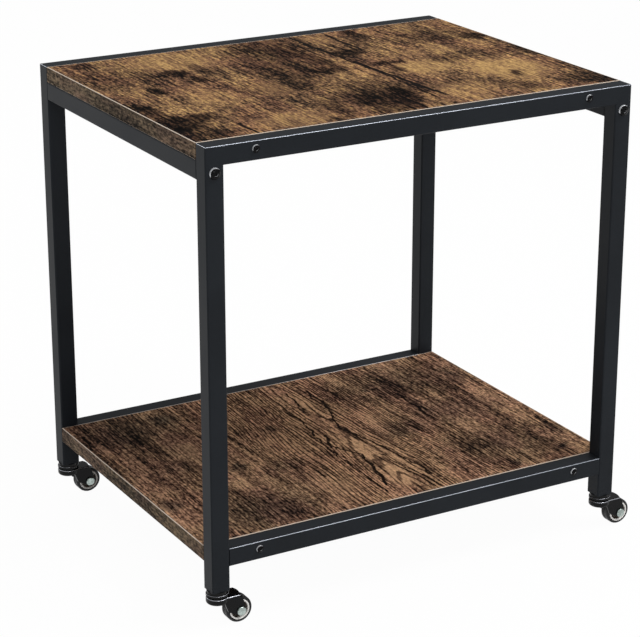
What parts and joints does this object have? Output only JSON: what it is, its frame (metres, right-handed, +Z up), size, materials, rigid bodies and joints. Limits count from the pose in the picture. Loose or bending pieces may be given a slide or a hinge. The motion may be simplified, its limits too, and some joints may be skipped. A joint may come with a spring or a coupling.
{
  "type": "mobile printer stand",
  "caption": "Two-tier rolling stand with a black square-tube frame, rustic brown boards and free-swivelling casters, for a printer above and paper below.",
  "frame": {"origin": "middle of the whole object's footprint, on the floor", "axes": "+X to the right along the width, +Y from front to rear, +Z up"},
  "size_m": [0.4756, 0.3614, 0.457],
  "materials": {
    "powder_coat": "satin black powder coat with a fine orange-peel texture",
    "laminate": "matt rustic brown laminate with dark patches and an embossed grain",
    "edge_banding": "matt brown printed edge banding",
    "black_oxide": "semi-gloss black",
    "plated_steel": "bright zinc plating",
    "black_nylon": "matt",
    "caster_enamel": "gloss black electrocoat on pressed steel",
    "wheel_nylon": "satin",
    "rim_ring": "semi-gloss",
    "tyre_rubber": "matt black"
  },
  "bodies": {
    "stand": {"front_left_leg": "powder_coat", "front_right_leg": "powder_coat", "rear_left_leg": "powder_coat", "rear_right_leg": "powder_coat", "front_top_rail": "powder_coat", "rear_top_rail": "powder_coat", "front_lower_rail": "powder_coat", "rear_lower_rail": "powder_coat", "left_side_rail": "powder_coat", "right_side_rail": "powder_coat", "top_board": "laminate", "lower_shelf": "laminate", "top_board_edge_bands": "edge_banding", "lower_shelf_edge_bands": "edge_banding", "side_rail_end_plates": "plated_steel", "side_rail_bolts": "black_oxide", "top_board_screws": "black_oxide", "lower_shelf_screws": "black_oxide", "leg_inserts": "black_nylon", "caster_stems": "plated_steel", "caster_swivel_caps": "caster_enamel"},
    "front_left_caster": {"front_left_fork": "caster_enamel", "front_left_swivel_balls": "plated_steel", "front_left_axle": "plated_steel"},
    "front_left_wheel": {"front_left_wheel_core": "wheel_nylon", "front_left_rim_rings": "rim_ring", "front_left_tyre": "tyre_rubber"},
    "front_right_caster": {"front_right_fork": "caster_enamel", "front_right_swivel_balls": "plated_steel", "front_right_axle": "plated_steel"},
    "front_right_wheel": {"front_right_wheel_core": "wheel_nylon", "front_right_rim_rings": "rim_ring", "front_right_tyre": "tyre_rubber"},
    "rear_left_caster": {"rear_left_fork": "caster_enamel", "rear_left_swivel_balls": "plated_steel", "rear_left_axle": "plated_steel"},
    "rear_left_wheel": {"rear_left_wheel_core": "wheel_nylon", "rear_left_rim_rings": "rim_ring", "rear_left_tyre": "tyre_rubber"},
    "rear_right_caster": {"rear_right_fork": "caster_enamel", "rear_right_swivel_balls": "plated_steel", "rear_right_axle": "plated_steel"},
    "rear_right_wheel": {"rear_right_wheel_core": "wheel_nylon", "rear_right_rim_rings": "rim_ring", "rear_right_tyre": "tyre_rubber"}
  },
  "joints": [
    {"name": "front_left_swivel", "type": "hinge", "parent": "stand", "child": "front_left_caster", "pos_m": [-0.22715, -0.1685, 0.0315], "axis": [0, 0, 1], "continuous": true},
    {"name": "front_left_roll", "type": "hinge", "parent": "front_left_caster", "child": "front_left_wheel", "pos_m": [-0.20715, -0.1685, 0.013], "axis": [0, 1, 0], "continuous": true},
    {"name": "front_right_swivel", "type": "hinge", "parent": "stand", "child": "front_right_caster", "pos_m": [0.20485, -0.1685, 0.0315], "axis": [0, 0, 1], "continuous": true},
    {"name": "front_right_roll", "type": "hinge", "parent": "front_right_caster", "child": "front_right_wheel", "pos_m": [0.22485, -0.1685, 0.013], "axis": [0, 1, 0], "continuous": true},
    {"name": "rear_left_swivel", "type": "hinge", "parent": "stand", "child": "rear_left_caster", "pos_m": [-0.22715, 0.1685, 0.0315], "axis": [0, 0, 1], "continuous": true},
    {"name": "rear_left_roll", "type": "hinge", "parent": "rear_left_caster", "child": "rear_left_wheel", "pos_m": [-0.20715, 0.1685, 0.013], "axis": [0, 1, 0], "continuous": true},
    {"name": "rear_right_swivel", "type": "hinge", "parent": "stand", "child": "rear_right_caster", "pos_m": [0.20485, 0.1685, 0.0315], "axis": [0, 0, 1], "continuous": true},
    {"name": "rear_right_roll", "type": "hinge", "parent": "rear_right_caster", "child": "rear_right_wheel", "pos_m": [0.22485, 0.1685, 0.013], "axis": [0, 1, 0], "continuous": true}
  ]
}
